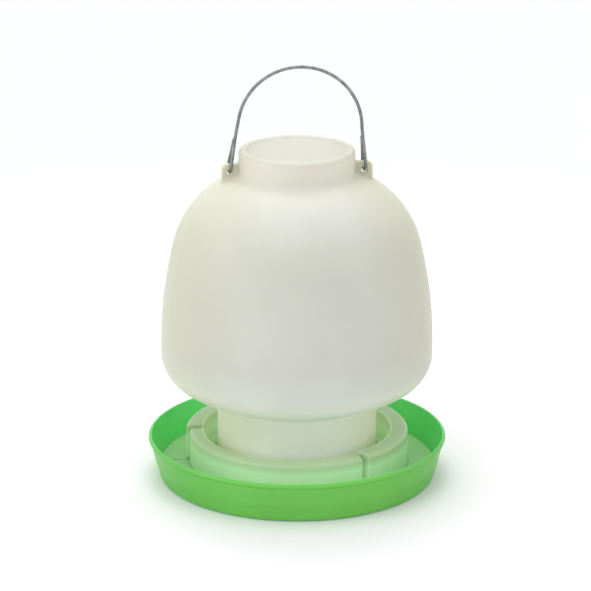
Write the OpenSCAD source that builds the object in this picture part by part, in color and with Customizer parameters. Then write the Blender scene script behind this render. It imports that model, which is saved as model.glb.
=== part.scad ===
// Poultry waterer fount: a closed natural-plastic reservoir that stands neck down in a shallow
// green drinking tray. Water leaves through outlets in the neck's edge until it covers them.
// Millimetres. +Z is up, -Y is the front, and the origin is the centre of the tray's flat base.

/* [Fount: the reservoir] */
// Radius of the fount at its widest
body_radius = 135.8; // [100:0.1:160]
// Height of the bottom of the straight band round the widest part
waist_bottom = 130; // [100:0.5:160]
// Height of the top of that band
waist_top = 138; // [105:0.5:170]
// Radius of the long shallow curve of the side
side_radius = 444.5; // [250:0.5:900]
// Angle that the side's curve turns through
side_turn = 13.4; // [5:0.1:25]
// Radius of the shoulder's curve
shoulder_radius = 101.8; // [60:0.1:140]
// Radius of the lower corner
corner_radius = 35; // [15:0.5:50]
// Slope of the underside, from the neck out to the lower corner
underside_slope = 22.8; // [5:0.1:40]
// Wall thickness of the fount
fount_wall = 2.5; // [1.5:0.1:4]
// Outer radius of the neck
neck_radius = 80; // [60:0.5:100]
// Fillet where the neck meets the underside
neck_fillet = 4; // [1:0.5:8]

/* [Fount: the boss that it stands on when it is filled] */
// Outer radius of the boss
boss_radius = 57.7; // [40:0.1:75]
// Height of the boss's top above the tray's base
boss_top = 338.5; // [300:0.5:380]
// Rounding of the boss's top edge
boss_round = 3.5; // [1:0.5:8]
// Fillet where the boss meets the shoulder
boss_fillet = 6; // [2:0.5:12]
// Radius of the shallow dish in the boss's top
dish_radius = 49; // [30:0.5:52]
// Depth of the dish
dish_depth = 1.2; // [0.5:0.1:2]

/* [Fount: the lugs that carry the bail] */
// Distance of each lug's outer edge from the fount's axis
lug_reach = 75; // [70:0.5:85]
// Thickness of a lug
lug_thickness = 5; // [3:0.1:8]
// Height of a lug's top
lug_top = 325.5; // [320:0.1:332]
// Rounding of a lug's outer top corner
lug_round = 6; // [2:0.5:8]
// Distance of the hole's centre from the fount's axis
lug_hole_offset = 66.5; // [63:0.1:70]
// Height of the hole's centre
lug_hole_height = 316.5; // [314:0.1:319]
// Radius of the hole
lug_hole_radius = 3; // [2:0.1:4]

/* [Fount: outlets and bayonet] */
// Number of outlets in the edge of the neck
outlet_count = 4; // [2:1:6]
// Width of an outlet
outlet_width = 16; // [8:0.5:24]
// Height of an outlet's arched top, which sets the water level
outlet_top = 28; // [20:0.5:34]
// Number of bayonet lugs, and of the hooks that hold them
bayonet_count = 4; // [2:1:4]
// Angle that one bayonet lug covers
bayonet_angle = 14; // [8:0.5:20]
// Distance that a bayonet lug stands out from the neck
bayonet_reach = 4.5; // [3:0.1:6]
// Height of the underside of the bayonet lugs
bayonet_bottom = 7; // [5:0.5:10]
// Height of the bayonet lugs themselves
bayonet_height = 5; // [3:0.5:7]

/* [Bail] */
// Radius of the galvanised wire
wire_radius = 1.6; // [1:0.1:2.5]
// Radius of the bail's arch, to the middle of the wire
bail_radius = 61; // [45:0.5:75]
// How far the hand-bent arch stands to the right of the fount's axis
arch_offset = 3; // [-5:0.5:5]
// Height of the arch's centre
arch_height = 360; // [350:0.5:375]
// Radius of the eye that slides through the lug's hole
eye_radius = 6.1; // [5.5:0.1:7]
// Height at which the eye closes on the leg
eye_closing = 348; // [340:0.5:354]
// Turn of each hand-bent eye about the upright, seen from above
eye_twist = 10; // [0:1:12]

/* [Tray] */
// Outer radius of the tray's wall, carried down to the base
tray_foot = 138.5; // [120:0.5:160]
// Outward lean of the tray's wall, in mm for each mm of height
tray_lean = 0.25; // [0:0.01:0.4]
// Rounding of the tray's lower edge
tray_round = 6; // [3:0.5:8]
// Thickness of the tray's wall
tray_wall = 2.2; // [1.5:0.1:3]
// Thickness of the tray's floor
tray_floor = 3; // [2:0.1:4]
// Outer radius of the rim bead
rim_radius = 150; // [130:0.5:170]
// Radius of the bead's own section
rim_bead = 2.5; // [1.5:0.1:4]
// Height of the top of the rim
rim_top = 43; // [35:0.5:55]

/* [Trough ring] */
// Inner radius of the ring
ring_inner = 94; // [88:0.5:100]
// Outer radius of the rear piece's wall
ring_outer_rear = 112; // [106:0.5:118]
// Outer radius of the front piece's wall
ring_outer_front = 108.5; // [102:0.5:116]
// Height of the rear piece's top
ring_top_rear = 49.5; // [44:0.1:52]
// Height of the front piece's top
ring_top_front = 47.5; // [42:0.1:50]
// Wall thickness of the ring
ring_wall = 2; // [1.2:0.1:3]
// Rounding of the ring's outer top edge
ring_round = 4; // [2:0.5:7]
// Height of the trough's floor, which is the top of the ring's flange
trough_floor = 12.9; // [8:0.1:18]
// Distance of the down-turned lip's outer face from the axis
lip_radius = 133; // [125:0.5:136]
// Direction of the right joint between the two pieces, from the front towards +X
joint_right = 33; // [10:0.5:80]
// Direction of the left joint, from the front towards -X
joint_left = 95; // [60:0.5:120]
// Width of the open groove at each joint
joint_gap = 4; // [1:0.1:8]

/* [Hidden] */
$fn = 180;
clearance = 0.3;                       // between pieces that rest on one another
running_gap = 0.6;                     // round the bayonet, which has to turn
over = 1;                              // how far a cutting shape runs past what it cuts
arc_steps = 12;
fount_bottom = tray_floor + clearance; // the neck's edge, just clear of the tray's floor

// The bayonet lugs stand midway between the outlets.
function bayonet_at(i) = (i - 0.5) * 360 / bayonet_count;

function along(angle) = [cos(angle), sin(angle)];
function arc(centre, radius, from, to, steps = arc_steps) =
    [for (i = [0:steps]) centre + radius * along(from + (to - from) * i / steps)];

// The fount's profile is a chain of arcs. Each centre follows from the one before it.
side_centre = [body_radius - side_radius, waist_top];
shoulder_centre = side_centre + (side_radius - shoulder_radius) * along(side_turn);
corner_centre = [body_radius - corner_radius, waist_bottom];
corner_end = corner_centre + corner_radius * along(underside_slope - 90);
neck_top = corner_end[1] - (corner_end[0] - neck_radius) * tan(underside_slope);
neck_fillet_centre = [
    neck_radius + neck_fillet,
    neck_top + neck_fillet * (tan(underside_slope) - 1 / cos(underside_slope))
];
boss_fillet_x = boss_radius + boss_fillet - shoulder_centre[0];
boss_fillet_turn = acos(boss_fillet_x / (shoulder_radius + boss_fillet));
boss_fillet_centre = shoulder_centre + (shoulder_radius + boss_fillet) * along(boss_fillet_turn);
boss_round_centre = [boss_radius - boss_round, boss_top - boss_round];

// Half section of the fount, closed on the axis; inset 0 is its outside, the wall its inside.
function fount_profile(inset, bottom) = concat(
    [[0, bottom], [neck_radius - inset, bottom]],
    arc(neck_fillet_centre, neck_fillet + inset, 180, 90 + underside_slope),
    arc(corner_centre, corner_radius - inset, underside_slope - 90, 0),
    arc(side_centre, side_radius - inset, 0, side_turn),
    arc(shoulder_centre, shoulder_radius - inset, side_turn, boss_fillet_turn),
    arc(boss_fillet_centre, boss_fillet + inset, 180 + boss_fillet_turn, 180),
    arc(boss_round_centre, boss_round - inset, 0, 90),
    [[dish_radius + dish_depth, boss_top - inset]],
    [[dish_radius, boss_top - dish_depth - inset], [0, boss_top - dish_depth - inset]]
);

module fount_lug() {
    side_to_inside = boss_radius - fount_wall;
    bottom = lug_hole_height - 14;
    translate([0, lug_thickness / 2, 0]) rotate([90, 0, 0]) linear_extrude(lug_thickness) union() {
        translate([side_to_inside, bottom])
            square([lug_reach - side_to_inside, lug_top - lug_round - bottom]);
        translate([side_to_inside, bottom])
            square([lug_reach - lug_round - side_to_inside, lug_top - bottom]);
        translate([lug_reach - lug_round, lug_top - lug_round]) circle(lug_round);
    }
}

module lug_hole() {
    translate([lug_hole_offset, 0, lug_hole_height]) rotate([90, 0, 0])
        cylinder(r = lug_hole_radius, h = lug_thickness + 2 * over, center = true);
}

// An arched opening through the neck, centred on +X
module outlet() {
    length = 3 * fount_wall;
    arch = outlet_width / 2;
    translate([neck_radius - fount_wall / 2, 0, 0]) {
        translate([-length / 2, -arch, fount_bottom - over])
            cube([length, outlet_width, outlet_top - arch - fount_bottom + over]);
        translate([0, 0, outlet_top - arch]) rotate([0, 90, 0])
            cylinder(r = arch, h = length, center = true);
    }
}

// Turns a half section through an angle, from a start direction counted from +X
module sector(angle, start) {
    rotate([0, 0, start]) rotate_extrude(angle = angle) children();
}

module bayonet_lug() {
    sector(bayonet_angle, -bayonet_angle / 2)
        translate([neck_radius - fount_wall / 2, bayonet_bottom])
            square([bayonet_reach + fount_wall / 2, bayonet_height]);
}

module fount() {
    color([0.91, 0.91, 0.86]) difference() {
        union() {
            rotate_extrude() polygon(fount_profile(0, fount_bottom));
            for (turn = [0, 180]) rotate([0, 0, turn]) fount_lug();
            for (i = [1:bayonet_count])
                rotate([0, 0, bayonet_at(i)]) bayonet_lug();
        }
        rotate_extrude() polygon(fount_profile(fount_wall, fount_bottom - over));
        for (turn = [0, 180]) rotate([0, 0, turn]) lug_hole();
        for (i = [1:outlet_count]) rotate([0, 0, i * 360 / outlet_count]) outlet();
    }
}

// The eye turns about the middle of the lug's material above its hole.
pivot_height = lug_hole_height + eye_radius;
eye_half_angle = asin(eye_radius / (eye_closing - pivot_height));

// A bend in the wire, a touch fuller than the wire itself
module bend(centre) {
    translate(centre) sphere(wire_radius + 0.04);
}

module wire(from, to) {
    run = to - from;
    length = norm(run);
    translate(from) rotate([0, acos(run[2] / length), atan2(run[1], run[0])])
        cylinder(r = wire_radius, h = length);
}

// A leg is a straight wire that leaves the arch along its tangent and comes down to the pivot.
// The arch is at offset from the fount's axis, as the leg on +X sees it.
function leg_turn(offset) =
    let (across = lug_hole_offset - offset, down = pivot_height - arch_height)
    atan2(down, across) + acos(bail_radius / norm([across, down]));

function leg_top(offset) =
    [offset, 0, arch_height]
    + bail_radius * [cos(leg_turn(offset)), 0, sin(leg_turn(offset))];

function on_leg(offset, height) =
    let (top = leg_top(offset), share = (height - pivot_height) / (top[2] - pivot_height))
    [lug_hole_offset + (top[0] - lug_hole_offset) * share, 0, height];

// Where each side of the eye leaves the sliding arc, before the eye's twist
eye_side = [
    eye_radius * cos(eye_half_angle),
    pivot_height + eye_radius * sin(eye_half_angle)
];

// The leg on +X and its eye; twist turns the eye about the upright through the lug's hole.
module bail_leg(offset, twist) {
    apex = on_leg(offset, eye_closing);
    translate([lug_hole_offset, 0, pivot_height]) rotate([90, 0, 90 + twist])
        rotate([0, 0, 180 - eye_half_angle])
            rotate_extrude(angle = 180 + 2 * eye_half_angle)
                translate([eye_radius, 0]) circle(wire_radius);
    for (side = [-1, 1]) {
        corner = [
            lug_hole_offset - side * eye_side[0] * sin(twist),
            side * eye_side[0] * cos(twist),
            eye_side[1]
        ];
        wire(corner, apex);
        bend(corner);
    }
    wire(apex, leg_top(offset));
    bend(apex);
    bend(leg_top(offset));
}

module bail() {
    right = leg_turn(arch_offset);
    left = leg_turn(-arch_offset);
    color([0.70, 0.70, 0.69]) union() {
        translate([arch_offset, 0, arch_height]) rotate([90, 0, 0]) rotate([0, 0, right])
            rotate_extrude(angle = 180 - left - right)
                translate([bail_radius, 0]) circle(wire_radius);
        bail_leg(arch_offset, eye_twist);
        mirror([1, 0, 0]) bail_leg(-arch_offset, -eye_twist);
    }
}

// Tray wall: a cone with its lower edge rounded and a bead round its top
lean_angle = atan(tray_lean);
function tray_side(height) = tray_foot + tray_lean * height;
round_centre = [tray_side(tray_round) - tray_round / cos(lean_angle), tray_round];
bead_centre = [rim_radius - rim_bead, rim_top - rim_bead];
bead_start = bead_centre[1] - rim_bead + 0.1;
inner_shift = tray_wall / cos(lean_angle);

tray_profile = concat(
    [[0, 0]],
    arc(round_centre, tray_round, -90, -lean_angle),
    [[tray_side(bead_start), bead_start]],
    arc(bead_centre, rim_bead, -70, 90),
    [[tray_side(rim_top - 0.8) - inner_shift, rim_top - 0.8]],
    arc(round_centre, tray_round - tray_wall, -lean_angle, -75),
    [[round_centre[0] - 2, tray_floor], [0, tray_floor]]
);

// Each hook is open on the side that the bayonet lug comes from, and stopped at the other end.
hook_inner = neck_radius + 1;
hook_post = neck_radius + bayonet_reach + running_gap;
hook_outer = hook_post + 4;
hook_roof = bayonet_bottom + bayonet_height + running_gap;
hook_top = hook_roof + 4;
hook_start = bayonet_angle / 2 + 4;
hook_angle = bayonet_angle + 8;
stop_angle = 2;

module bayonet_hook() {
    sector(hook_angle, -hook_start - hook_angle) {
        translate([hook_post, tray_floor - over])
            square([hook_outer - hook_post, hook_top - tray_floor + over]);
        translate([hook_inner, hook_roof])
            square([hook_outer - hook_inner, hook_top - hook_roof]);
    }
    sector(stop_angle, -hook_start - hook_angle)
        translate([hook_inner, tray_floor - over])
            square([hook_outer - hook_inner, hook_top - tray_floor + over]);
}

module tray() {
    color([0.28, 0.62, 0.24]) union() {
        rotate_extrude() polygon(tray_profile);
        for (i = [1:bayonet_count])
            rotate([0, 0, bayonet_at(i)]) bayonet_hook();
    }
}

// The trough ring's section is a hollow wall, open below, with a flange that is the trough's
// floor and a lip that holds the flange up.
flange_outer = tray_side(trough_floor) - inner_shift - 2 * clearance;
flange_low = trough_floor - ring_wall;

function ring_outside(outer, top) = concat(
    [[ring_inner, fount_bottom], [ring_inner, top - 1], [ring_inner + 1, top]],
    arc([outer - ring_round, top - ring_round], ring_round, 90, 0),
    [[outer, trough_floor], [flange_outer, trough_floor], [flange_outer - 0.5, flange_low]],
    [[lip_radius, flange_low], [lip_radius, fount_bottom]]
);

function ring_hollow(outer, top) = concat(
    [[ring_inner + ring_wall, fount_bottom - over], [ring_inner + ring_wall, top - ring_wall]],
    arc([outer - ring_round, top - ring_round], ring_round - ring_wall, 90, 0),
    [[outer - ring_wall, flange_low], [lip_radius - ring_wall, flange_low]],
    [[lip_radius - ring_wall, fount_bottom - over]]
);

// The hollow stops short of both ends, which leaves a web across each.
module ring_piece(outer, top, from, to) {
    trim = joint_gap / 2 / ring_inner * 180 / PI;
    web = ring_wall / ring_inner * 180 / PI;
    start = from + trim;
    angle = to - from - 2 * trim;
    difference() {
        sector(angle, start) polygon(ring_outside(outer, top));
        sector(angle - 2 * web, start + web) polygon(ring_hollow(outer, top));
    }
}

module trough_ring_rear() {
    color([0.69, 0.77, 0.64])
        ring_piece(ring_outer_rear, ring_top_rear, joint_right - 90, 270 - joint_left);
}

module trough_ring_front() {
    color([0.69, 0.77, 0.64])
        ring_piece(ring_outer_front, ring_top_front, -90 - joint_left, joint_right - 90);
}

fount();
bail();
tray();
trough_ring_rear();
trough_ring_front();
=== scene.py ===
"""Looks for the poultry waterer fount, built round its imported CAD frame.

Every piece is a mesh of its own, in metres, in the frame of the CAD: +Z up, -Y the front, the
tray standing on Z = 0. Sections are given as (radius, height) in millimetres and turned about Z.
"""

import math

import bmesh
import bpy
from mathutils import Matrix, Vector, noise


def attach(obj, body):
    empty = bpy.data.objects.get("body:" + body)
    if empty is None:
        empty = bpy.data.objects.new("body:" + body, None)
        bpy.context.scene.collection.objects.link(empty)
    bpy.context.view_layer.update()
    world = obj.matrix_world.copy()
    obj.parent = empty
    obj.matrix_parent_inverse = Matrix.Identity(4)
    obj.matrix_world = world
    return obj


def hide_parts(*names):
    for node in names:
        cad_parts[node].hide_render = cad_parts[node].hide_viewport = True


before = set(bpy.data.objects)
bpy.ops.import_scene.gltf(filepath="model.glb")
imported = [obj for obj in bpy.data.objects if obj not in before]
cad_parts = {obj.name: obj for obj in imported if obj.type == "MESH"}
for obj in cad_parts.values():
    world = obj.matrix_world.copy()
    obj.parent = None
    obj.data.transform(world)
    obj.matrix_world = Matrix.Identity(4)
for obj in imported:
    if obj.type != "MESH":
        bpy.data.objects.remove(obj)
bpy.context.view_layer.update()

MM = 0.001
MERGE_DISTANCE = 1e-7
ON_AXIS = 1e-6
SHORTEST_RUN = 1e-9

# The least angle of an edge that stays sharp, and the longest straight step in a section
SHARP_ANGLE = 35
CHORD = 4.0


# ---------------------------------------------------------------- mesh tools


def arc(centre, radius, start, end, steps):
    """Points on an arc, with its angles in degrees."""
    points = []
    for i in range(steps + 1):
        angle = math.radians(start + (end - start) * i / steps)
        points.append((centre[0] + radius * math.cos(angle), centre[1] + radius * math.sin(angle)))
    return points


def spaced(points, gap):
    """The same open line with extra points, so that none are further apart than gap."""
    out = [points[0]]
    for (r0, z0), (r1, z1) in zip(points, points[1:]):
        steps = max(1, math.ceil(math.hypot(r1 - r0, z1 - z0) / gap))
        for i in range(1, steps + 1):
            out.append((r0 + (r1 - r0) * i / steps, z0 + (z1 - z0) * i / steps))
    return out


def make_object(name, mesh):
    """A new object in the scene for a mesh."""
    obj = bpy.data.objects.new(name, mesh)
    bpy.context.scene.collection.objects.link(obj)
    return obj


def mesh_from(name, vertices, faces):
    """An object with outward normals from vertices in metres."""
    mesh = bpy.data.meshes.new(name)
    mesh.from_pydata(vertices, [], faces)
    bm = bmesh.new()
    bm.from_mesh(mesh)
    bmesh.ops.remove_doubles(bm, verts=bm.verts, dist=MERGE_DISTANCE)
    bmesh.ops.recalc_face_normals(bm, faces=bm.faces)
    bm.to_mesh(mesh)
    bm.free()
    return make_object(name, mesh)


def revolve(name, section, angles, whole=True):
    """Turns a closed section about Z through angles in degrees, and caps it if it isn't whole."""
    rings = []
    vertices = []
    for angle in angles:
        c, s = math.cos(math.radians(angle)), math.sin(math.radians(angle))
        rings.append(len(vertices))
        vertices += [(r * c * MM, r * s * MM, z * MM) for r, z in section]
    count = len(section)
    pairs = list(zip(rings, rings[1:]))
    if whole:
        pairs.append((rings[-1], rings[0]))
    faces = []
    for a, b in pairs:
        for i in range(count):
            j = (i + 1) % count
            if section[i][0] < ON_AXIS and section[j][0] < ON_AXIS:
                continue
            faces.append((a + i, a + j, b + j, b + i))
    if not whole:
        faces.append(tuple(rings[0] + i for i in range(count)))
        faces.append(tuple(rings[-1] + i for i in range(count)))
    return mesh_from(name, vertices, faces)


def even_angles(count, start=0.0, sweep=360.0, whole=True):
    """Evenly spaced angles in degrees; the last one is left out where the turn is whole."""
    return [start + sweep * i / count for i in range(count if whole else count + 1)]


def apply_modifiers(obj):
    """Turns what the modifiers make into the object's own mesh."""
    bpy.context.view_layer.update()
    graph = bpy.context.evaluated_depsgraph_get()
    made = bpy.data.meshes.new_from_object(obj.evaluated_get(graph))
    obj.modifiers.clear()
    obj.data = made
    return obj


def boolean(obj, tool, operation):
    """Joins or cuts obj with tool, which is used up."""
    modifier = obj.modifiers.new("boolean", "BOOLEAN")
    modifier.operation = operation
    modifier.solver = "EXACT"
    modifier.object = tool
    apply_modifiers(obj)
    bpy.data.objects.remove(tool)
    return obj


def bevel(obj, width, segments, limit):
    """Rounds the edges that turn by more than limit, in degrees."""
    modifier = obj.modifiers.new("bevel", "BEVEL")
    modifier.width = width * MM
    modifier.segments = segments
    modifier.limit_method = "ANGLE"
    modifier.angle_limit = math.radians(limit)
    return apply_modifiers(obj)


def joined(name, objects):
    """One object out of several."""
    bm = bmesh.new()
    for obj in objects:
        bm.from_mesh(obj.data)
        bpy.data.objects.remove(obj)
    mesh = bpy.data.meshes.new(name)
    bm.to_mesh(mesh)
    bm.free()
    return make_object(name, mesh)


def turned(obj, angle):
    """A copy of obj turned about Z, in degrees."""
    mesh = obj.data.copy()
    mesh.transform(Matrix.Rotation(math.radians(angle), 4, "Z"))
    return make_object(obj.name, mesh)


def smooth(obj):
    """Shades an object smooth, but for its sharp edges."""
    obj.data.shade_smooth()
    obj.data.set_sharp_from_angle(angle=math.radians(SHARP_ANGLE))
    return obj


def place(obj, body, node, material):
    """Gives a finished piece its look, its body and the CAD node that it stands for."""
    obj.data.materials.clear()
    obj.data.materials.append(material)
    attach(obj, body)
    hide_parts(node)


# ---------------------------------------------------------------- the fount

BODY_RADIUS = 135.8
WAIST = (130.0, 138.0)
SIDE_RADIUS = 444.5
SIDE_TURN = 13.4
SHOULDER_RADIUS = 101.8
CORNER_RADIUS = 35.0
UNDERSIDE_SLOPE = 22.8
FOUNT_WALL = 2.5
NECK_RADIUS = 80.0
NECK_FILLET = 4.0
FOUNT_BOTTOM = 3.3
RIM_CHAMFER = 0.6
BOSS_RADIUS = 57.4
BOSS_TOP = 338.5
BOSS_ROUND = 3.5
BOSS_FILLET = 6.0
DISH_RADIUS = 49.0
DISH_DEPTH = 1.2
DISH_LIP = 0.15
# Where the painted shade on the boss's top dish ends, and how softly it fades
DISH_EDGE = DISH_RADIUS + 1
DISH_BLEND = 0.5

# The dish's soft edge, as (distance past its radius, depth under the boss's top)
DISH_STEPS = ((2.2, 0.0), (1.4, DISH_LIP), (0.2, DISH_DEPTH - DISH_LIP), (-0.8, DISH_DEPTH))

OUTLET_WIDTH = 16.0
OUTLET_TOP = 28.0
OUTLET_CUT = (NECK_RADIUS - 8, NECK_RADIUS + 6)
OUTLETS = 4
FOUNT_SEGMENTS = 240

BAYONET_SPOTS = (45, 135, 225, 315)
BAYONET_ROOT = 78.5
BAYONET_REACH = 84.5
BAYONET_CHAMFER = 0.5
BAYONET_LOW = 7.0
BAYONET_HIGH = 12.0
BAYONET_SWEEP = 14

LUG_REACH = 75.0
LUG_THICKNESS = 5.0
LUG_TOP = 325.5
LUG_ROUND = 6.0
LUG_EDGE_ROUND = 1.3
LUG_FLARE = 3.2
LUG_TOP_FILLET = 2.6
LUG_FOOT_FILLET = 3.0
LUG_FOOT_RISE = 5.4
LUG_FOOT_TURN = 232
LUG_FOOT_REACH = LUG_REACH + 3.5
LUG_GRID = (56, 30)
LUG_GRID_BIAS = 0.8
LUG_HOLE = (66.5, 316.5)
LUG_HOLE_RADIUS = 2.85
LUG_HOLE_ROUND = 1.6
HOLE_CUT_PAST = 0.2


def fount_centres():
    """Centres of the arcs in the fount's section, each found from the one before it."""
    turn = math.radians(SIDE_TURN)
    slope = math.radians(UNDERSIDE_SLOPE)
    side = (BODY_RADIUS - SIDE_RADIUS, WAIST[1])
    step = SIDE_RADIUS - SHOULDER_RADIUS
    shoulder = (side[0] + step * math.cos(turn), side[1] + step * math.sin(turn))
    corner = (BODY_RADIUS - CORNER_RADIUS, WAIST[0])
    corner_end = (
        corner[0] + CORNER_RADIUS * math.sin(slope),
        corner[1] - CORNER_RADIUS * math.cos(slope),
    )
    neck_top = corner_end[1] - (corner_end[0] - NECK_RADIUS) * math.tan(slope)
    neck = (
        NECK_RADIUS + NECK_FILLET,
        neck_top + NECK_FILLET * (math.tan(slope) - 1 / math.cos(slope)),
    )
    across = BOSS_RADIUS + BOSS_FILLET - shoulder[0]
    boss_turn = math.acos(across / (SHOULDER_RADIUS + BOSS_FILLET))
    boss = (
        BOSS_RADIUS + BOSS_FILLET,
        shoulder[1] + (SHOULDER_RADIUS + BOSS_FILLET) * math.sin(boss_turn),
    )
    return side, shoulder, corner, neck, boss, math.degrees(boss_turn)


def fount_line(inset):
    """The fount's section from the neck's edge to the axis; inset 0 is the outside."""
    side, shoulder, corner, neck, boss, boss_turn = fount_centres()
    round_centre = (BOSS_RADIUS - BOSS_ROUND, BOSS_TOP - BOSS_ROUND)
    rim = RIM_CHAMFER if inset == 0 else 0.0
    line = [(NECK_RADIUS - inset - rim, FOUNT_BOTTOM), (NECK_RADIUS - inset, FOUNT_BOTTOM + rim)]
    line += arc(neck, NECK_FILLET + inset, 180, 90 + UNDERSIDE_SLOPE, 10)
    line += arc(corner, CORNER_RADIUS - inset, UNDERSIDE_SLOPE - 90, 0, 28)
    line += arc(side, SIDE_RADIUS - inset, 0, SIDE_TURN, 32)
    line += arc(shoulder, SHOULDER_RADIUS - inset, SIDE_TURN, boss_turn, 34)[1:]
    line += arc(boss, BOSS_FILLET + inset, 180 + boss_turn, 180, 10)
    line += arc(round_centre, BOSS_ROUND - inset, 0, 90, 8)
    top = BOSS_TOP - inset
    line += [(DISH_RADIUS + past, top - depth) for past, depth in DISH_STEPS]
    line += [(0.0, top - DISH_DEPTH)]
    return spaced(line, CHORD)


# Degrees from a parting line to the extra angles that carry it, and to the nearest plain one
PARTING_STEPS = (0.0, 0.08, 0.16, 0.26, 0.4, 0.7)
PARTING_CLEAR = 0.9


def parting_angles(count):
    """Angles round the fount, with extra ones that carry the mould's parting lines on +X and -X."""
    extra = {side + sign * step for side in (0, 180) for step in PARTING_STEPS for sign in (-1, 1)}
    plain = {a for a in even_angles(count) if min(a % 180, 180 - a % 180) > PARTING_CLEAR}
    return sorted({round(a % 360, 4) for a in plain | extra})


# The wall's waves, as (waves in a metre, depth), and how they calm down towards the axis
WALL_WAVES = ((14, 0.16), (42, 0.05))
CALM_RADIUS = 60
CALM_LEAST = 0.15
UNTOUCHED_RADIUS = 4.0
RIDGE_HEIGHT = 0.22
RIDGE_WIDTH = 0.32
RIDGE_START = 50.0
WALL_SHRINK = 0.02


def roughen_fount(obj):
    """A blown wall's slight unevenness, and the fine ridge where the two mould halves met."""
    for vertex in obj.data.vertices:
        x, y, z = vertex.co
        radius = math.hypot(x, y)
        if radius < UNTOUCHED_RADIUS * MM:
            continue
        outward = Vector((x, y, 0.0)) / radius
        wave = sum(noise.noise(Vector((x, y, z)) * scale) * depth for scale, depth in WALL_WAVES)
        calm = min(1.0, max(CALM_LEAST, (radius / MM - CALM_RADIUS) / CALM_RADIUS))
        ridge = 0.0
        if z > RIDGE_START * MM:
            ridge = RIDGE_HEIGHT * math.exp(-((y / MM / RIDGE_WIDTH) ** 2))
        vertex.co += outward * (wave * calm + ridge - WALL_SHRINK) * MM


def lug_base():
    """The middle of the fount's wall where a lug stands on it, from the boss down the shoulder."""
    _, shoulder, _, _, boss, boss_turn = fount_centres()
    inset = FOUNT_WALL / 2
    line = [(BOSS_RADIUS - inset, LUG_TOP + LUG_TOP_FILLET), (BOSS_RADIUS - inset, boss[1])]
    line += arc(boss, BOSS_FILLET + inset, 180, 180 + boss_turn, 8)
    reach = math.degrees(math.acos((LUG_FOOT_REACH - shoulder[0]) / (SHOULDER_RADIUS - inset)))
    line += arc(shoulder, SHOULDER_RADIUS - inset, boss_turn, reach, 8)[1:]
    return line


def lug_edge(end):
    """A lug's outer edge, from the boss over the rounded top corner and down to the shoulder."""
    start = LUG_TOP + LUG_TOP_FILLET
    foot = (LUG_REACH + LUG_FOOT_FILLET, end[1] + LUG_FOOT_RISE)
    line = [(BOSS_RADIUS - FOUNT_WALL / 2, start)]
    line += arc((BOSS_RADIUS + LUG_TOP_FILLET, start), LUG_TOP_FILLET, 180, 270, 5)
    line += arc((LUG_REACH - LUG_ROUND, LUG_TOP - LUG_ROUND), LUG_ROUND, 90, 0, 12)
    line += arc(foot, LUG_FOOT_FILLET, 180, LUG_FOOT_TURN, 5)
    return line + [end]


def along(line, share):
    """The point at a share of an open line's length."""
    lengths = [math.dist(a, b) for a, b in zip(line, line[1:])]
    left = share * sum(lengths)
    for (a, b), length in zip(zip(line, line[1:]), lengths):
        if left <= length:
            t = left / length
            return (a[0] + (b[0] - a[0]) * t, a[1] + (b[1] - a[1]) * t)
        left -= length
    return line[-1]


def distance_to(line, point):
    """Shortest distance from a point to an open line."""
    best = math.inf
    p = Vector(point)
    for a, b in zip(line, line[1:]):
        a, b = Vector(a), Vector(b)
        run = b - a
        t = max(0.0, min(1.0, (p - a).dot(run) / max(run.length_squared, SHORTEST_RUN)))
        best = min(best, (a + run * t - p).length)
    return best


def lug_half_thickness(point, base, edge):
    """Half a lug's thickness: full in the middle, rounded at its edge and flared at its root."""
    half = LUG_THICKNESS / 2
    near_edge = distance_to(edge, point)
    if near_edge < LUG_EDGE_ROUND:
        half -= LUG_EDGE_ROUND - math.sqrt(LUG_EDGE_ROUND**2 - (LUG_EDGE_ROUND - near_edge) ** 2)
    above = max(0.0, distance_to(base, point) - FOUNT_WALL / 2)
    if above < LUG_FLARE:
        half += LUG_FLARE - math.sqrt(LUG_FLARE**2 - (LUG_FLARE - above) ** 2)
    return half


def lug_vertices(side):
    """One face of a lug on +X, as a grid; side is -1 or 1, for the face towards -Y or +Y."""
    across, up = LUG_GRID
    base = lug_base()
    edge = lug_edge(base[-1])
    vertices = []
    for i in range(across + 1):
        low, high = along(base, i / across), along(edge, i / across)
        for j in range(up + 1):
            t = (j / up) ** LUG_GRID_BIAS
            point = (low[0] + (high[0] - low[0]) * t, low[1] + (high[1] - low[1]) * t)
            half = lug_half_thickness(point, base, edge)
            vertices.append((point[0] * MM, side * half * MM, point[1] * MM))
    return vertices


def lug_faces():
    """The faces of both grids of a lug, and of the walls that close them."""
    across, up = LUG_GRID
    row = up + 1
    sheet = row * (across + 1)
    faces = []
    for start in (0, sheet):
        for i in range(across):
            for j in range(up):
                a = start + i * row + j
                faces.append((a, a + 1, a + row + 1, a + row))
    for i in range(across):
        for j in (0, up):
            a = i * row + j
            faces.append((a, a + row, a + row + sheet, a + sheet))
    for i in (0, across):
        for j in range(up):
            a = i * row + j
            faces.append((a, a + 1, a + 1 + sheet, a + sheet))
    return faces


def fount_lug():
    """One lug on +X, a thin plate whose root flares into the boss and the shoulder."""
    lug = mesh_from("lug", lug_vertices(-1) + lug_vertices(1), lug_faces())
    return boolean(lug, lug_hole_cutter(), "DIFFERENCE")


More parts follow.
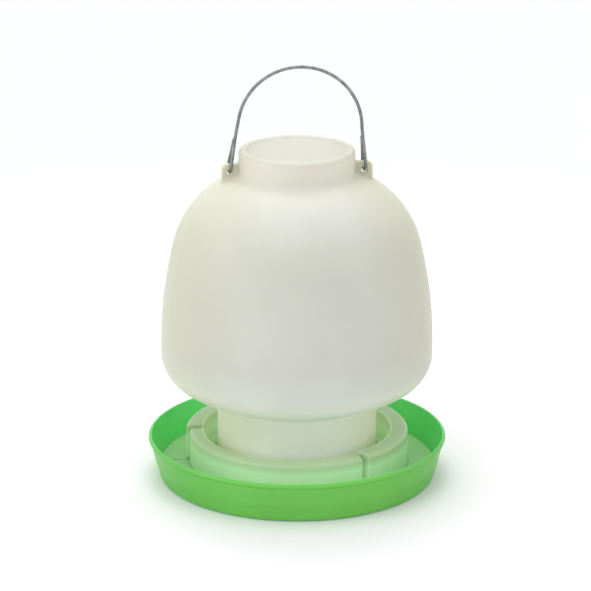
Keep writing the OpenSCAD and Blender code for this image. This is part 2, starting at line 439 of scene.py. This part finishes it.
def lug_hole_cutter():
    """A cutter for the lug's hole, with rounded edges at both faces."""
    wide = LUG_HOLE_RADIUS + LUG_HOLE_ROUND
    land = LUG_THICKNESS / 2 - LUG_HOLE_ROUND
    brim = wide + HOLE_CUT_PAST
    above = LUG_THICKNESS / 2 + 2 * HOLE_CUT_PAST
    line = [(0, -LUG_THICKNESS), (brim, -LUG_THICKNESS), (brim, -above)]
    line += arc((wide, -land), LUG_HOLE_ROUND, 270, 180, 6)
    line += arc((wide, land), LUG_HOLE_ROUND, 180, 90, 6)
    line += [(brim, above), (brim, LUG_THICKNESS), (0, LUG_THICKNESS)]
    cutter = revolve("hole_cutter", line, even_angles(48))
    move = Matrix.Translation((LUG_HOLE[0] * MM, 0, LUG_HOLE[1] * MM))
    cutter.data.transform(move @ Matrix.Rotation(math.pi / 2, 4, "X"))
    return cutter


def outlet_cutter():
    """A cutter for one arched outlet, standing on +X."""
    half = OUTLET_WIDTH / 2
    line = [(-half, FOUNT_BOTTOM - 2), (half, FOUNT_BOTTOM - 2)]
    line += arc((0, OUTLET_TOP - half), half, 0, 180, 20)
    vertices = [(x * MM, y * MM, z * MM) for x in OUTLET_CUT for y, z in line]
    count = len(line)
    faces = [tuple(range(count)), tuple(range(count, 2 * count))]
    faces += [(i, (i + 1) % count, (i + 1) % count + count, i + count) for i in range(count)]
    return mesh_from("outlet_cutter", vertices, faces)


def copies(maker, angles):
    """Several copies of one object, turned about Z and joined."""
    first = maker()
    made = [turned(first, angle) for angle in angles]
    name = first.name
    bpy.data.objects.remove(first)
    return joined(name, made)


def bayonet_lug():
    """A bayonet lug on the neck at +X, chamfered at its outer edges."""
    face = BAYONET_REACH - BAYONET_CHAMFER
    section = [(BAYONET_ROOT, BAYONET_LOW), (face, BAYONET_LOW)]
    section += [(BAYONET_REACH, BAYONET_LOW + BAYONET_CHAMFER)]
    section += [(BAYONET_REACH, BAYONET_HIGH - BAYONET_CHAMFER)]
    section += [(face, BAYONET_HIGH), (BAYONET_ROOT, BAYONET_HIGH)]
    angles = even_angles(12, -BAYONET_SWEEP / 2, BAYONET_SWEEP, whole=False)
    return revolve("bayonet", section, angles, whole=False)


def build_fount(material):
    """The reservoir with its boss, lugs, neck, outlets and bayonet lugs, as one moulding."""
    section = fount_line(0) + fount_line(FOUNT_WALL)[::-1]
    fount = revolve("fount", section, parting_angles(FOUNT_SEGMENTS))
    roughen_fount(fount)
    boolean(fount, copies(fount_lug, (0, 180)), "UNION")
    boolean(fount, copies(bayonet_lug, BAYONET_SPOTS), "UNION")
    boolean(fount, copies(outlet_cutter, even_angles(OUTLETS)), "DIFFERENCE")
    fount.name = "fount_moulding"
    place(smooth(fount), "fount", "fount", material)


# ---------------------------------------------------------------- the trough ring

RING_INNER = 94.0
RING_WALL = 2.0
RING_INNER_ROUND = 2.0
RING_FOOT_FILLET = 1.8
RING_END_ROUND = 0.9
RING_STEP = 1.5
TROUGH_FLOOR = 12.9
FLANGE_OUTER = 138.86
FLANGE_ROUND = 0.7
FLANGE_CHAMFER = 0.4
LIP_RADIUS = 133.0
JOINT_GAP_RIGHT = 4.0
JOINT_GAP_LEFT = 1.4
JOINT_RIGHT = 33.0
JOINT_LEFT = 95.0

# Each piece's outer radius, its top, and the rounding between them
REAR_WALL = (112.0, 49.5, 4.0)
FRONT_WALL = (108.5, 47.5, 5.0)


def ring_outside(outer, top, rounding):
    """The outside of a ring piece's section, from its inner foot over the top to the lip."""
    flange_low = TROUGH_FLOOR - RING_WALL
    inner_round = (RING_INNER + RING_INNER_ROUND, top - RING_INNER_ROUND)
    foot = (outer + RING_FOOT_FILLET, TROUGH_FLOOR + RING_FOOT_FILLET)
    flange = (FLANGE_OUTER - FLANGE_ROUND, TROUGH_FLOOR - FLANGE_ROUND)
    line = [(RING_INNER, FOUNT_BOTTOM)]
    line += arc(inner_round, RING_INNER_ROUND, 180, 90, 6)
    line += arc((outer - rounding, top - rounding), rounding, 90, 0, 12)
    line += arc(foot, RING_FOOT_FILLET, 180, 270, 5)
    line += arc(flange, FLANGE_ROUND, 90, 0, 3)
    line += [(FLANGE_OUTER - FLANGE_CHAMFER, flange_low), (LIP_RADIUS, flange_low)]
    line += [(LIP_RADIUS, FOUNT_BOTTOM)]
    return spaced(line, CHORD)


def ring_hollow(outer, top, rounding):
    """The section of the space under a ring piece, open at the bottom."""
    flange_low = TROUGH_FLOOR - RING_WALL
    inner = RING_INNER + RING_WALL
    lip = LIP_RADIUS - RING_WALL
    line = [(inner, FOUNT_BOTTOM - 1), (inner, top - RING_WALL)]
    line += arc((outer - rounding, top - rounding), rounding - RING_WALL, 90, 0, 8)
    return line + [(outer - RING_WALL, flange_low), (lip, flange_low), (lip, FOUNT_BOTTOM - 1)]


def ring_piece(name, wall, start, end):
    """One hollow piece of the ring, between two directions in degrees from +X."""
    web = math.degrees(RING_WALL / RING_INNER)
    sweep = end - start
    count = round(sweep / RING_STEP)
    angles = even_angles(count, start, sweep, whole=False)
    piece = revolve(name, ring_outside(*wall), angles, whole=False)
    bevel(piece, RING_END_ROUND, segments=3, limit=60)
    inside = even_angles(count, start + web, sweep - 2 * web, whole=False)
    hollow = revolve("hollow", ring_hollow(*wall), inside, whole=False)
    return smooth(boolean(piece, hollow, "DIFFERENCE"))


def build_ring(material):
    """The trough ring's rear and front pieces, with a joint at the right and at the left."""
    right, left = JOINT_RIGHT - 90, -90 - JOINT_LEFT
    right_trim = math.degrees(JOINT_GAP_RIGHT / 2 / RING_INNER)
    left_trim = math.degrees(JOINT_GAP_LEFT / 2 / RING_INNER)
    rear = ring_piece("ring_piece_rear", REAR_WALL, right + right_trim, left + 360 - left_trim)
    place(rear, "ring_rear", "trough_ring_rear", material)
    front = ring_piece("ring_piece_front", FRONT_WALL, left + left_trim, right - right_trim)
    place(front, "ring_front", "trough_ring_front", material)


# ---------------------------------------------------------------- the tray

TRAY_FOOT = 138.5
TRAY_LEAN = 0.25
TRAY_WALL = 2.2
TRAY_FLOOR = 3.0
TRAY_ROUND = 6.0
TRAY_CHORD = 5.0
TRAY_SEGMENTS = 300
RIM_RADIUS = 150.0
RIM_TOP = 43.0
RIM_BEAD = 2.5
RIM_INSIDE = 42.2
RIM_INSIDE_ROUND = 0.8
BEAD_START = -76
INSIDE_ROUND_END = -75

# Heights on the tray's side, and how far it stands out there past its plain lean
TRAY_BAND = ((15.4, 0.0), (16.0, 0.35), (36.6, 0.1), (37.4, -0.25))

HOOK_START = -33
HOOK_SWEEP = 22
HOOK_STOP_SWEEP = 2
HOOK_FOOT = 2.0
HOOK_ROOF = 12.6
HOOK_TOP = 16.6

# Inner and outer radii of a hook's blocks, a little apart so that no two faces lie in one plane
HOOK_POST = (85.1, 89.1)
HOOK_LIP = (81.0, 87.0)
HOOK_STOP = (81.01, 88.9)
HOOK_APART = 0.02


def tray_side(height, inward=0.0):
    """The radius of the tray's leaning side at a height, measured inward square to it."""
    return TRAY_FOOT + TRAY_LEAN * height - inward * math.hypot(1, TRAY_LEAN)


def tray_section():
    """The tray's section, from its middle out under the foot, over the rim and back inside."""
    lean = math.degrees(math.atan(TRAY_LEAN))
    foot = (tray_side(TRAY_ROUND, TRAY_ROUND), TRAY_ROUND)
    bead = (RIM_RADIUS - RIM_BEAD, RIM_TOP - RIM_BEAD)
    inside = tray_side(RIM_INSIDE, TRAY_WALL)
    line = [(0, 0.0)]
    line += arc(foot, TRAY_ROUND, -90, -lean, 10)
    line += [(tray_side(height) + out, height) for height, out in TRAY_BAND]
    line += arc(bead, RIM_BEAD, BEAD_START, 90, 16)
    line += arc((inside + RIM_INSIDE_ROUND, RIM_INSIDE), RIM_INSIDE_ROUND, 90, 180, 4)
    line += arc(foot, TRAY_ROUND - TRAY_WALL, -lean, INSIDE_ROUND_END, 8)
    line += [(foot[0] - 2, TRAY_FLOOR), (0, TRAY_FLOOR)]
    return spaced(line, TRAY_CHORD)


def hook_block(name, radii, low, high, sweep):
    """A block of a hook, between two radii and two heights."""
    inner, outer = radii
    section = [(inner, low), (outer, low), (outer, high), (inner, high)]
    return revolve(name, section, even_angles(12, HOOK_START, sweep, whole=False), whole=False)


def bayonet_hook():
    """A hook on +X for a bayonet lug that comes round from the +Y side."""
    post = hook_block("post", HOOK_POST, HOOK_FOOT, HOOK_TOP, HOOK_SWEEP)
    lip = hook_block("lip", HOOK_LIP, HOOK_ROOF, HOOK_TOP - HOOK_APART, HOOK_SWEEP)
    stop_top = HOOK_TOP - 2 * HOOK_APART
    stop = hook_block("stop", HOOK_STOP, HOOK_FOOT, stop_top, HOOK_STOP_SWEEP)
    return boolean(boolean(post, lip, "UNION"), stop, "UNION")


def build_tray(material):
    """The drinking tray with its bayonet hooks, as one moulding."""
    tray = revolve("tray_moulding", tray_section(), even_angles(TRAY_SEGMENTS))
    boolean(tray, copies(bayonet_hook, BAYONET_SPOTS), "UNION")
    place(smooth(tray), "tray", "tray", material)


# ---------------------------------------------------------------- the bail

WIRE_RADIUS = 1.64
ARCH_RADIUS = 61.0
ARCH_CENTRE = (3.0, 359.9)
EYE_RADIUS = 6.1
EYE_CLOSING = 348.0
EYE_TWIST = 8.5
WIRE_STEP = 0.8
WIRE_SIDES = 20
PIVOT = (LUG_HOLE[0], LUG_HOLE[1] + EYE_RADIUS)

# The two strands over an eye, as (distance behind the leg, height over the closing)
EYE_TAIL = ((2.9, 1.5), (3.15, -5), (3.9, -12))
EYE_RISE = ((-3.9, -12), (-2.0, -5), (-0.9, 1), (0, 8))

# The wire's cut ends, as (distance from the tip, share of the wire's radius)
CUT_REACH = 0.45
CUT_ROUND = ((0.0, 0.35), (0.12, 0.7), (0.45, 0.95))

# The wire's faint dents, as (waves in a millimetre, share of the radius)
WIRE_DENTS = ((0.09, 0.02), (0.5, 0.008))


def leg_turn(side):
    """Where a leg leaves the arch along its tangent, in degrees above level; side is 1 on +X."""
    across = PIVOT[0] - side * ARCH_CENTRE[0]
    down = PIVOT[1] - ARCH_CENTRE[1]
    turn = math.atan2(down, across) + math.acos(ARCH_RADIUS / math.hypot(across, down))
    return math.degrees(turn)


def beside_leg(side, y, z):
    """A point at y from a leg, in the upright plane of its twisted eye."""
    turn = math.radians(leg_turn(side))
    top_x = side * ARCH_CENTRE[0] + ARCH_RADIUS * math.cos(turn)
    top_z = ARCH_CENTRE[1] + ARCH_RADIUS * math.sin(turn)
    rise = max(0.0, (z - PIVOT[1]) / (top_z - PIVOT[1]))
    x = PIVOT[0] + (top_x - PIVOT[0]) * rise
    twist = math.radians(side * EYE_TWIST)
    return (side * (x - y * math.sin(twist)), y * math.cos(twist), z)


def eye_path(side):
    """The wire from its cut end behind a leg, round the eye and up to where the leg takes over."""
    opening = math.degrees(math.asin(EYE_RADIUS / (EYE_CLOSING - PIVOT[1])))
    eye = arc((0, PIVOT[1]), EYE_RADIUS, opening, -180 - opening, 22)
    tail = [(y, EYE_CLOSING + up) for y, up in EYE_TAIL]
    rise = [(y, EYE_CLOSING + up) for y, up in EYE_RISE]
    return [beside_leg(side, y, z) for y, z in tail + eye + rise]


def bail_path():
    """The whole wire, from one cut end to the other."""
    line = arc(ARCH_CENTRE, ARCH_RADIUS, 180 - leg_turn(-1), leg_turn(1), 60)
    arch = [(x, 0.0, z) for x, z in line]
    return eye_path(-1) + arch + eye_path(1)[::-1]


def between(a, b, c, d, t):
    """The point a share t of the way from b to c, on a smooth curve through a, b, c and d."""
    slope = (c - a) * t
    bend = (2 * a - 5 * b + 4 * c - d) * t * t
    return 0.5 * (2 * b + slope + bend + (3 * b - a - 3 * c + d) * t * t * t)


def smooth_path(points, gap):
    """The path as a smooth curve through its points, in steps of about gap."""
    line = [Vector(p) for p in points]
    line = [line[0] * 2 - line[1]] + line + [line[-1] * 2 - line[-2]]
    out = []
    for a, b, c, d in zip(line, line[1:], line[2:], line[3:]):
        steps = max(1, round((c - b).length / gap))
        out += [between(a, b, c, d, i / steps) for i in range(steps)]
    return out + [line[-2]]


def tube_rows(path):
    """The middles of a wire's rings, each with its share of the radius, which drops at the ends."""
    first = (path[0] - path[1]).normalized()
    last = (path[-1] - path[-2]).normalized()
    rows = [(path[0] + first * (CUT_REACH - back), share) for back, share in CUT_ROUND]
    rows += [(point, 1.0) for point in path]
    rows += [(path[-1] + last * (CUT_REACH - back), share) for back, share in reversed(CUT_ROUND)]
    return rows


def tube(name, path, radius):
    """A round wire along a path, with rounded cut ends and faint dents."""
    rows = tube_rows(path)
    vertices = []
    across = Vector((1, 0, 0))
    for k, (point, share) in enumerate(rows):
        ahead = rows[min(k + 1, len(rows) - 1)][0] - rows[max(k - 1, 0)][0]
        ahead.normalize()
        across = (across - ahead * across.dot(ahead)).normalized()
        other = ahead.cross(across)
        dent = 1 + sum(noise.noise(point * scale) * depth for scale, depth in WIRE_DENTS)
        for i in range(WIRE_SIDES):
            angle = 2 * math.pi * i / WIRE_SIDES
            offset = across * math.cos(angle) + other * math.sin(angle)
            vertices.append((point + offset * radius * share * min(dent, 1.0)) * MM)
    faces = []
    for a in range(0, (len(rows) - 1) * WIRE_SIDES, WIRE_SIDES):
        for i in range(WIRE_SIDES):
            j = (i + 1) % WIRE_SIDES
            faces.append((a + i, a + j, a + WIRE_SIDES + j, a + WIRE_SIDES + i))
    faces.append(tuple(range(WIRE_SIDES)))
    faces.append(tuple(range((len(rows) - 1) * WIRE_SIDES, len(rows) * WIRE_SIDES)))
    return mesh_from(name, vertices, faces)


def build_bail(material):
    """The bail, one length of wire with an eye at each end."""
    wire = tube("bail_wire", smooth_path(bail_path(), WIRE_STEP), WIRE_RADIUS)
    place(smooth(wire), "bail", "bail", material)


# ---------------------------------------------------------------- materials

# The radius in metres inside which a surface counts as less and less sideways
SIDEWAYS_RADIUS = 0.07


class Shader:
    """Shorthand for building one material's nodes."""

    def __init__(self, name):
        self.material = bpy.data.materials.new(name)
        self.material.use_nodes = True
        self.tree = self.material.node_tree
        self.principled = self.tree.nodes["Principled BSDF"]
        self.where = self.add("ShaderNodeTexCoord").outputs["Object"]
        split = self.add("ShaderNodeSeparateXYZ")
        self.link(self.where, split.inputs["Vector"])
        self.height = split.outputs["Z"]
        self.across = split.outputs["X"]

    def add(self, kind, **settings):
        """A new node with some of its properties set."""
        node = self.tree.nodes.new(kind)
        for key, value in settings.items():
            setattr(node, key, value)
        return node

    def link(self, source, target):
        self.tree.links.new(source, target)

    def stretched(self, scale):
        """The object's own coordinates, scaled along each axis."""
        mapping = self.add("ShaderNodeMapping")
        mapping.inputs["Scale"].default_value = scale
        self.link(self.where, mapping.inputs["Vector"])
        return mapping.outputs["Vector"]

    def noise(self, scale, detail, roughness=0.5, vector=None):
        """Cloudy values from 0 to 1."""
        node = self.add("ShaderNodeTexNoise")
        node.inputs["Scale"].default_value = scale
        node.inputs["Detail"].default_value = detail
        node.inputs["Roughness"].default_value = roughness
        self.link(vector or self.where, node.inputs["Vector"])
        return node.outputs["Fac"]

    def remap(self, value, low, high, to_low, to_high):
        """The value stretched from one range to another, and held inside it."""
        node = self.add("ShaderNodeMapRange")
        keys = ("From Min", "From Max", "To Min", "To Max")
        for key, number in zip(keys, (low, high, to_low, to_high)):
            node.inputs[key].default_value = number
        self.link(value, node.inputs["Value"])
        return node.outputs["Result"]

    def ramp(self, value, stops):
        """A colour by value, from stops of (value, colour)."""
        node = self.add("ShaderNodeValToRGB")
        elements = node.color_ramp.elements
        while len(elements) < len(stops):
            elements.new(0.5)
        for element, (position, colour) in zip(elements, stops):
            element.position = position
            element.color = (*colour, 1.0)
        self.link(value, node.inputs["Fac"])
        return node.outputs["Color"]

    def math(self, operation, a, b):
        """The result of one operation on two values, either of which may be a plain number."""
        node = self.add("ShaderNodeMath", operation=operation)
        for socket, value in zip(node.inputs, (a, b)):
            if isinstance(value, (int, float)):
                socket.default_value = value
            else:
                self.link(value, socket)
        return node.outputs["Value"]

    def radius(self):
        """Distance from the object's upright axis."""
        flat = self.add("ShaderNodeVectorMath", operation="MULTIPLY")
        flat.inputs[1].default_value = (1.0, 1.0, 0.0)
        self.link(self.where, flat.inputs[0])
        length = self.add("ShaderNodeVectorMath", operation="LENGTH")
        self.link(flat.outputs["Vector"], length.inputs[0])
        return length.outputs["Value"]

    def sideways(self):
        """How squarely a wall faces +X or -X, from 0 to 1, fading out towards the axis."""
        across = self.math("ABSOLUTE", self.across, 0.0)
        return self.math("DIVIDE", across, self.math("MAXIMUM", self.radius(), SIDEWAYS_RADIUS))

    def multiplied(self, a, b):
        """The product of two colours."""
        node = self.add("ShaderNodeMix", data_type="RGBA", blend_type="MULTIPLY")
        node.inputs["Factor"].default_value = 1.0
        for key, colour in (("A", a), ("B", b)):
            self.link(colour, next(i for i in node.inputs if i.name == key and i.type == "RGBA"))
        return next(o for o in node.outputs if o.type == "RGBA")

    def bump(self, height, strength, distance, base):
        """A normal that follows a height, on top of another bump if there is one."""
        node = self.add("ShaderNodeBump")
        node.inputs["Strength"].default_value = strength
        node.inputs["Distance"].default_value = distance
        self.link(height, node.inputs["Height"])
        if base:
            self.link(base, node.inputs["Normal"])
        return node.outputs["Normal"]

    def set(self, **values):
        """Sets or links sockets of the Principled shader, named with _ for each space."""
        for key, value in values.items():
            socket = self.principled.inputs[key.replace("_", " ")]
            if hasattr(value, "is_linked"):
                self.link(value, socket)
            else:
                socket.default_value = value


WHITE = (1.0, 1.0, 1.0)
# Painted shade on the boss's top dish, darker than its rim
DISH_PAINTED_SHADE = (0.89, 0.895, 0.89)
MILKY_CLOUDS = [(0.35, (0.95, 0.95, 0.94)), (0.65, WHITE)]
GREEN_CLOUDS = [(0.3, (0.92, 0.94, 0.92)), (0.7, WHITE)]
ZINC_PATCHES = [(0.3, (0.16, 0.18, 0.17)), (0.55, (0.27, 0.30, 0.285)), (0.75, (0.43, 0.46, 0.44))]

# Where the painted shade towards +X and -X starts and is full, out of 1
SIDE_SHADE_START = 0.45
SIDE_SHADE_FULL = 0.95

# Painted light and shade on the natural plastic, as colours at heights in millimetres from the
# tray's base up: greener low down for the tray's green light, lighter at the neck and under the
# body for light through the wall, darker down the body, lighter at the shoulder and boss side, and
# darker on the boss's top
FOUNT_PAINTED_SHADING = [
    (10.0, (0.78, 0.87, 0.66)),
    (45.0, (0.90, 0.89, 0.81)),
    (55.0, (0.84, 0.85, 0.72)),
    (78.0, (0.84, 0.85, 0.72)),
    (84.0, (0.95, 0.95, 0.81)),
    (93.0, (0.91, 0.92, 0.76)),
    (103.0, (0.765, 0.79, 0.68)),
    (125.0, (0.615, 0.65, 0.59)),
    (150.0, (0.598, 0.607, 0.55)),
    (265.0, (0.615, 0.62, 0.555)),
    (300.0, (0.67, 0.67, 0.61)),
    (322.0, (0.725, 0.705, 0.617)),
    (334.0, (0.725, 0.705, 0.617)),
    (338.0, (0.575, 0.573, 0.50)),
]
# Painted shade on the fount, darker and yellower where its wall turns towards +X and -X
FOUNT_SIDE_SHADE = (0.89, 0.89, 0.78)
FOUNT_SOFTNESS = 0.005
# Painted light and shade on the ring, as colours at heights in millimetres: deeper green at the
# trough floor for the tray's green light, lighter on the walls and darker on the top
RING_PAINTED_SHADING = [
    (4.0, (0.26, 0.55, 0.225)),
    (13.5, (0.26, 0.55, 0.225)),
    (17.0, (0.67, 0.86, 0.61)),
    (36.0, (0.70, 0.89, 0.64)),
    (44.0, (0.47, 0.60, 0.385)),
    (50.0, (0.44, 0.565, 0.355)),
]
# Painted shade on the ring where it turns towards +X and -X
RING_SIDE_SHADE = (0.77, 0.86, 0.74)
RING_SOFTNESS = 0.003

# The ring's glow, strong up to a radius just past its inner wall and weak beyond
RING_GLOW = (0.68, 0.97, 0.52, 1.0)
GLOW_REACH = 96.6
GLOW_INSIDE = 0.18
GLOW_OUTSIDE = 0.06
GLOW_BLEND = 0.8

# The tray's green outside, and its inside painted lighter and bluer for the light that comes
# through its wall
OUTER_GREEN = (0.156, 0.53, 0.074)
INNER_GREEN_PAINTED_LIGHT = (0.215, 0.81, 0.297)
# Painted shade on the tray where it turns towards +X and -X
GREEN_SIDE_SHADE = (0.58, 0.82, 0.58)
GREEN_BLEND = 0.5


def scuffs(shader, scale, amount):
    """A sparse mask of fine scratches, from noise stretched two ways."""
    level, upright = shader.stretched((1.0, 1.0, 9.0)), shader.stretched((7.0, 7.0, 1.0))
    one = shader.noise(scale, detail=2.0, roughness=0.6, vector=level)
    two = shader.noise(scale * 0.8, detail=2.0, roughness=0.6, vector=upright)
    both = shader.math("MAXIMUM", one, two)
    return shader.remap(both, 0.72, 0.78, 0.0, amount)


def grained(shader, grain, ripple):
    """A normal with a moulded face's grain and ripple, each (noise scale, strength, depth)."""
    normal = None
    for scale, strength, depth in (grain, ripple):
        normal = shader.bump(shader.noise(scale, detail=2.0), strength, depth, normal)
    return normal


def around(shader, value, middle, blend, stops):
    """A colour that changes from the first stop to the second within a blend of the middle."""
    share = shader.remap(value, (middle - blend) * MM, (middle + blend) * MM, 0.0, 1.0)
    return shader.ramp(share, [(0.0, stops[0]), (1.0, stops[1])])


def with_side_shade(shader, colour, side_shade):
    """The colour, with painted shade where the surface lies towards +X and -X."""
    stops = [(SIDE_SHADE_START, WHITE), (SIDE_SHADE_FULL, side_shade)]
    return shader.multiplied(colour, shader.ramp(shader.sideways(), stops))


def natural_plastic(name, painted_shading, side_shade, softness):
    """Unpigmented polyethylene, milky and waxy.

    The colours by height, in millimetres from the lowest up, are painted light and shade, and the
    colour for the sides is painted shade on +X and -X. They stand in for the light that passes
    through the real plastic, for the green light that the tray lends it and for the shade that
    falls on it. softness is how far light spreads under the surface, in metres.
    """
    s = Shader(name)
    top = painted_shading[-1][0]
    height = s.remap(s.height, 0.0, top * MM, 0.0, 1.0)
    # Painted light and shade, by height
    shading = s.ramp(height, [(z / top, colour) for z, colour in painted_shading])
    cloud = s.ramp(s.noise(11.0, detail=3.0), MILKY_CLOUDS)
    flow = s.noise(5.0, detail=4.0, roughness=0.6, vector=s.stretched((9.0, 9.0, 1.2)))
    rough = s.remap(flow, 0.3, 0.7, 0.36, 0.48)
    marks = scuffs(s, scale=60.0, amount=0.14)
    # Painted shade on the boss's top dish, inside its edge
    dish_shade = around(s, s.radius(), DISH_EDGE, DISH_BLEND, (DISH_PAINTED_SHADE, WHITE))
    # Painted shade towards +X and -X
    colour = with_side_shade(s, s.multiplied(s.multiplied(shading, cloud), dish_shade), side_shade)
    s.set(Base_Color=colour, Roughness=s.math("ADD", rough, marks))
    s.set(Subsurface_Weight=0.85, Subsurface_Radius=(1.0, 0.95, 0.7), Subsurface_Scale=softness)
    s.set(IOR=1.5, Specular_IOR_Level=0.42)
    s.set(Normal=grained(s, (900.0, 0.10, 0.0004), (60.0, 0.10, 0.002)))
    return s


def fount_plastic():
    """The reservoir's natural plastic."""
    s = natural_plastic("natural_polyethylene", FOUNT_PAINTED_SHADING, FOUNT_SIDE_SHADE, FOUNT_SOFTNESS)
    return s.material


def ring_plastic():
    """The ring's natural plastic, with a weak glow for the light that its walls let through."""
    s = natural_plastic("ring_polyethylene", RING_PAINTED_SHADING, RING_SIDE_SHADE, RING_SOFTNESS)
    start, end = (GLOW_REACH - GLOW_BLEND) * MM, (GLOW_REACH + GLOW_BLEND) * MM
    through = s.remap(s.radius(), start, end, GLOW_INSIDE, GLOW_OUTSIDE)
    s.set(Emission_Color=RING_GLOW, Emission_Strength=through)
    return s.material


def green_plastic():
    """Light green polypropylene with a satin moulded face, and painted light that makes the tray's
    inside lighter than its outside.
    """
    s = Shader("green_polypropylene")
    cloud = s.ramp(s.noise(16.0, detail=3.0), GREEN_CLOUDS)
    upright = s.math("SUBTRACT", s.radius(), s.math("MULTIPLY", s.height, TRAY_LEAN))
    # Painted light: the tray's inside lighter and bluer than its outside
    green = around(s, upright, TRAY_FOOT - TRAY_WALL / 2, GREEN_BLEND, (INNER_GREEN_PAINTED_LIGHT, OUTER_GREEN))
    colour = with_side_shade(s, s.multiplied(green, cloud), GREEN_SIDE_SHADE)
    flow = s.noise(7.0, detail=4.0, roughness=0.6, vector=s.stretched((2.0, 2.0, 6.0)))
    rough = s.remap(flow, 0.3, 0.7, 0.30, 0.42)
    marks = scuffs(s, scale=70.0, amount=0.18)
    s.set(Base_Color=colour, Roughness=s.math("ADD", rough, marks))
    s.set(Subsurface_Weight=0.6, Subsurface_Radius=(0.5, 1.0, 0.5), Subsurface_Scale=0.004)
    s.set(IOR=1.49, Specular_IOR_Level=0.5)
    s.set(Normal=grained(s, (1100.0, 0.10, 0.0003), (80.0, 0.08, 0.0015)))
    return s.material


def galvanised_wire():
    """Zinc-coated steel: dull, patchy and slightly spangled."""
    s = Shader("galvanised_wire")
    cells = s.add("ShaderNodeTexVoronoi")
    cells.inputs["Scale"].default_value = 420.0
    s.link(s.where, cells.inputs["Vector"])
    spangle = s.remap(cells.outputs["Distance"], 0.0, 0.6, 0.0, 1.0)
    patch = s.noise(150.0, detail=4.0, roughness=0.65)
    uneven = s.math("ADD", spangle, patch)
    s.set(Base_Color=s.ramp(patch, ZINC_PATCHES), Metallic=0.9)
    s.set(Roughness=s.remap(uneven, 0.4, 1.4, 0.34, 0.58))
    s.set(Normal=s.bump(uneven, 0.25, 0.0002, None))
    return s.material


# ---------------------------------------------------------------- stage, light and camera

CAMERA_AZIMUTH = -5.0
CAMERA_ELEVATION = 17.83
CAMERA_DISTANCE = 3.0
CAMERA_TARGET = Vector((0.0, 0.0, 0.180))
CAMERA_LENS = 183.06
CAMERA_SHIFT = (-0.0025, 0.01196)
CAMERA_SENSOR = 36.0
CAMERA_END = 60.0
FLOOR_RADIUS = 1.2
FLOOR_SIDES = 180
FLOOR_COLOUR = (0.86, 0.845, 0.865, 1.0)
WORLD_COLOUR = (0.99, 0.995, 1.0, 1.0)
LIGHT_TARGET = Vector((0, 0, 0.2))

# Each light's name, place, diameter and power
LIGHTS = [
    ("key", (-0.9, -1.1, 1.9), 1.3, 4.0),
    ("left", (-1.8, -0.4, 1.0), 1.2, 6.0),
    ("behind", (0.0, 0.9, 1.8), 1.2, 11.0),
    ("top", (0.0, -0.4, 2.0), 1.2, 2.0),
]


def look_at(obj, target):
    """Turns a camera or a light towards a point."""
    obj.rotation_euler = (target - obj.location).to_track_quat("-Z", "Y").to_euler()


def add_camera():
    """The camera, at an azimuth round the object and an elevation above level."""
    data = bpy.data.cameras.new("camera")
    camera = bpy.data.objects.new("camera", data)
    bpy.context.scene.collection.objects.link(camera)
    a, e = math.radians(CAMERA_AZIMUTH), math.radians(CAMERA_ELEVATION)
    back = Vector((math.sin(a) * math.cos(e), -math.cos(a) * math.cos(e), math.sin(e)))
    camera.location = CAMERA_TARGET + back * CAMERA_DISTANCE
    look_at(camera, CAMERA_TARGET)
    data.sensor_width = CAMERA_SENSOR
    data.lens = CAMERA_LENS
    data.shift_x, data.shift_y = CAMERA_SHIFT
    data.clip_end = CAMERA_END
    bpy.context.scene.camera = camera


def add_floor():
    """A plain pale disc under the tray."""
    edge = [(x, y, 0.0) for x, y in arc((0, 0), FLOOR_RADIUS, 0, 360, FLOOR_SIDES)[:-1]]
    mesh = bpy.data.meshes.new("floor")
    mesh.from_pydata(edge, [], [tuple(range(len(edge)))])
    floor = make_object("floor", mesh)
    s = Shader("pale_floor")
    s.set(Base_Color=FLOOR_COLOUR, Roughness=0.9, Specular_IOR_Level=0.1)
    mesh.materials.append(s.material)


def add_area(name, place_at, size, power):
    """A round area light that faces the middle of the object."""
    data = bpy.data.lights.new(name, "AREA")
    data.shape = "DISK"
    data.size = size
    data.energy = power
    light = bpy.data.objects.new(name, data)
    bpy.context.scene.collection.objects.link(light)
    light.location = place_at
    light.visible_camera = False
    look_at(light, LIGHT_TARGET)


def add_light():
    """Soft studio light from four discs and a plain white world."""
    for name, place_at, size, power in LIGHTS:
        add_area(name, place_at, size, power)
    world = bpy.data.worlds.new("world")
    bpy.context.scene.world = world
    world.use_nodes = True
    background = world.node_tree.nodes["Background"]
    background.inputs["Color"].default_value = WORLD_COLOUR
    background.inputs["Strength"].default_value = 1.0
    bpy.context.scene.view_settings.view_transform = "Standard"


add_camera()
build_fount(fount_plastic())
build_ring(ring_plastic())
build_tray(green_plastic())
build_bail(galvanised_wire())
add_floor()
add_light()
